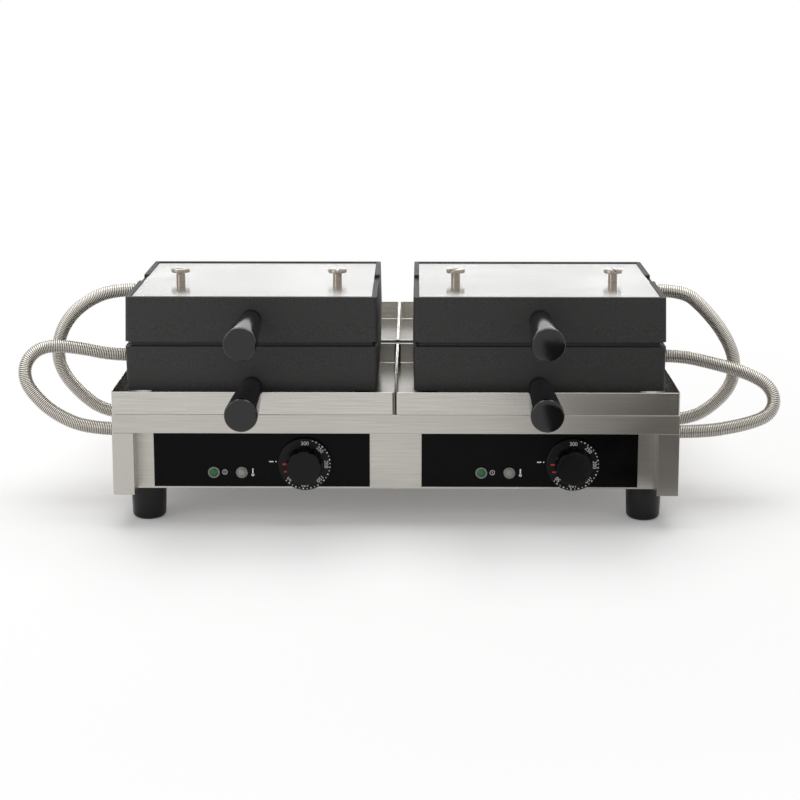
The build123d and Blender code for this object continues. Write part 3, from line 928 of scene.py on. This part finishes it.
for iron in IRONS:
    make_dial(iron)


# Control plates: lamp domes and printed marks beside them

LAMP_DOME = ((0, 0), (4.85, 0), (4.85, 0.5), (4.5, 1.1), (3.6, 1.7), (2.2, 2.1), (0, 2.25))
MARK_T = 0.2
MARK_ASIDE = 12.6  # from a lamp's middle to the mark beside it
POWER_RING = (2.9, 2.4)
POWER_STROKE = (0.5, 2.6)
BULB_R = 1.7
BULB_DOWN = 3.0
STEM = (1.5, 7.4)
STEM_UP = 0.6
INDEX_T = 0.3
INDEX_UP = 2.0  # over the dial's axis
DASH = (5.0, 1.3)
DASH_ASIDE = 38.6  # from the dial's axis
POINT_R = 0.8
POINT_ASIDE = 33.4


def lamp_places(cad_node):
    """Where the node's two lamps stand across, and how high."""
    low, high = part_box(cad_node)
    radius = (high.z - low.z) / 2
    return (low.x + radius, high.x - radius), (low.z + high.z) / 2


def make_lamps():
    """Domed lenses over the flat ones of the CAD."""
    for cad_node, made in (("power_lamps", green_lens), ("heat_lamps", pale_lens)):
        places, z = lamp_places(cad_node)
        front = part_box(cad_node)[0].y
        domes = []
        for x in places:
            thing = turned("dome", LAMP_DOME, 32)
            place_mesh(thing, facing_front(x, front, z))
            domes.append(thing)
        add_piece(join(domes, cad_node + "_domes"), made, "chassis")


def make_prints():
    """A circled bar, a thermometer and the dial's index, printed on both control plates."""
    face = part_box("control_plates")[0].y
    marks = []

    def put(mark, x, z):
        place_mesh(mark, facing_front(x, face, z))
        marks.append(mark)

    outer, inner = POWER_RING
    ring = [(inner, 0), (outer, 0), (outer, PRINT_T), (inner, PRINT_T), (inner, 0)]
    places, z = lamp_places("power_lamps")
    for x in places:
        put(turned("ring", ring, 32), x + MARK_ASIDE * MM, z)
        put(bar_mesh("stroke", *POWER_STROKE, MARK_T), x + MARK_ASIDE * MM, z)
    places, _ = lamp_places("heat_lamps")
    for x in places:
        put(disc_mesh("bulb", BULB_R, MARK_T, 20), x + MARK_ASIDE * MM, z - BULB_DOWN * MM)
        put(bar_mesh("stem", *STEM, MARK_T), x + MARK_ASIDE * MM, z + STEM_UP * MM)
    for iron in IRONS:
        axis = middle(iron + "_thermostat_knob")
        put(bar_mesh("dash", *DASH, INDEX_T), axis.x - DASH_ASIDE * MM, axis.z + INDEX_UP * MM)
        put(disc_mesh("point", POINT_R, INDEX_T, 12), axis.x - POINT_ASIDE * MM, axis.z + INDEX_UP * MM)
    add_piece(join(marks, "plate_marks"), white_print, "chassis")


make_lamps()
make_prints()


# Stage: a white floor and backdrop, plain soft light

FLOOR_SIZE = 14.0
PAPER_NEAR = 0.3  # the floor fades to plain white from here to there, from the part's middle
PAPER_FAR = 1.1
# Each softbox's name, place, aim, size and watts
SOFTBOXES = (
    ("top_softbox", (0.0, 0.1, 1.9), (0, 0, 0.1), (2.2, 1.6), 30),
    ("left_softbox", (-1.9, -1.5, 1.1), (0, 0, 0.15), (1.2, 1.4), 11),
    ("rear_softbox", (0.0, 2.2, 0.36), (0, 0, 0.3), (2.6, 0.18), 10),
)
CARD_AT = (0.95, -0.95, 0.004)
CARD_SIZE = (1.5, 1.3)


def flat_plane(name, size):
    """A square on the floor."""
    bpy.ops.object.select_all(action="DESELECT")
    bpy.ops.mesh.primitive_plane_add(size=size, location=(0, 0, 0))
    thing = bpy.context.view_layer.objects.active
    thing.name = name
    return thing


def larger(tree, first, second):
    """The larger of two values in a shader."""
    return node(tree, "ShaderNodeMath", {0: first, 1: second}, operation="MAXIMUM").outputs[0]


def make_stage():
    """A paper floor that takes shadows near the part and is plain white farther off."""
    floor = flat_plane("floor", FLOOR_SIZE)
    made, tree = material("white_paper")
    paths = node(tree, "ShaderNodeLightPath")
    place = node(tree, "ShaderNodeTexCoord")
    away = node(tree, "ShaderNodeVectorMath", {0: place.outputs["Object"]}, operation="LENGTH")
    fade = node(
        tree, "ShaderNodeMapRange", {"Value": away.outputs["Value"]}, interpolation_type="SMOOTHSTEP",
        From_Min=PAPER_NEAR, From_Max=PAPER_FAR, To_Min=0.16, To_Max=1.0,
    )
    paper = node(tree, "ShaderNodeBsdfDiffuse", Color=colour("F4F4F4"))
    glow = node(tree, "ShaderNodeEmission", Color=WHITE, Strength=1.0)
    looked_at = larger(tree, paths.outputs["Is Camera Ray"], paths.outputs["Is Glossy Ray"])
    seen = node(tree, "ShaderNodeMath", {0: looked_at, 1: fade.outputs[0]}, operation="MULTIPLY")
    mixed = node(tree, "ShaderNodeMixShader", {0: seen.outputs[0], 1: paper.outputs[0], 2: glow.outputs[0]})
    finish_with(tree, mixed)
    paint(floor, made)


def make_world():
    """White for the camera and for mirrors, and a dimmer light on the part."""
    world = bpy.data.worlds.new("studio")
    bpy.context.scene.world = world
    world.use_nodes = True
    tree = world.node_tree
    tree.nodes.clear()
    paths = node(tree, "ShaderNodeLightPath")
    looked_at = larger(tree, paths.outputs["Is Camera Ray"], paths.outputs["Is Glossy Ray"])
    seen = larger(tree, looked_at, paths.outputs["Is Transmission Ray"])
    dim = node(tree, "ShaderNodeBackground", Color=colour("EEEDEC"), Strength=0.55)
    white = node(tree, "ShaderNodeBackground", Color=WHITE, Strength=1.0)
    mixed = node(tree, "ShaderNodeMixShader", {0: seen, 1: dim.outputs[0], 2: white.outputs[0]})
    node(tree, "ShaderNodeOutputWorld", {"Surface": mixed.outputs[0]})


def soft_light(name, at, target, size, power):
    """A rectangular lamp at a place, aimed at the target: metres and watts."""
    data = bpy.data.lights.new(name, "AREA")
    data.shape = "RECTANGLE"
    data.size = size[0]
    data.size_y = size[1]
    data.energy = power
    lamp = bpy.data.objects.new(name, data)
    bpy.context.scene.collection.objects.link(lamp)
    lamp.location = at
    lamp.rotation_euler = (Vector(target) - Vector(at)).to_track_quat("-Z", "Y").to_euler()
    lamp.visible_camera = False


def grey_card(name, at, size):
    """A grey studio card on the floor that the bright metal mirrors on its right half. Only
    reflections see it."""
    card = flat_plane(name, 1.0)
    card.data.transform(Matrix.Translation(at) @ Matrix.Diagonal((*size, 1, 1)))
    card.data.update()
    paint(card, card_grey)
    card.visible_camera = False
    card.visible_diffuse = False
    card.visible_shadow = False


make_stage()
make_world()
for softbox in SOFTBOXES:
    soft_light(*softbox)
grey_card("right_flag", CARD_AT, CARD_SIZE)

bpy.context.scene.view_settings.view_transform = "Standard"
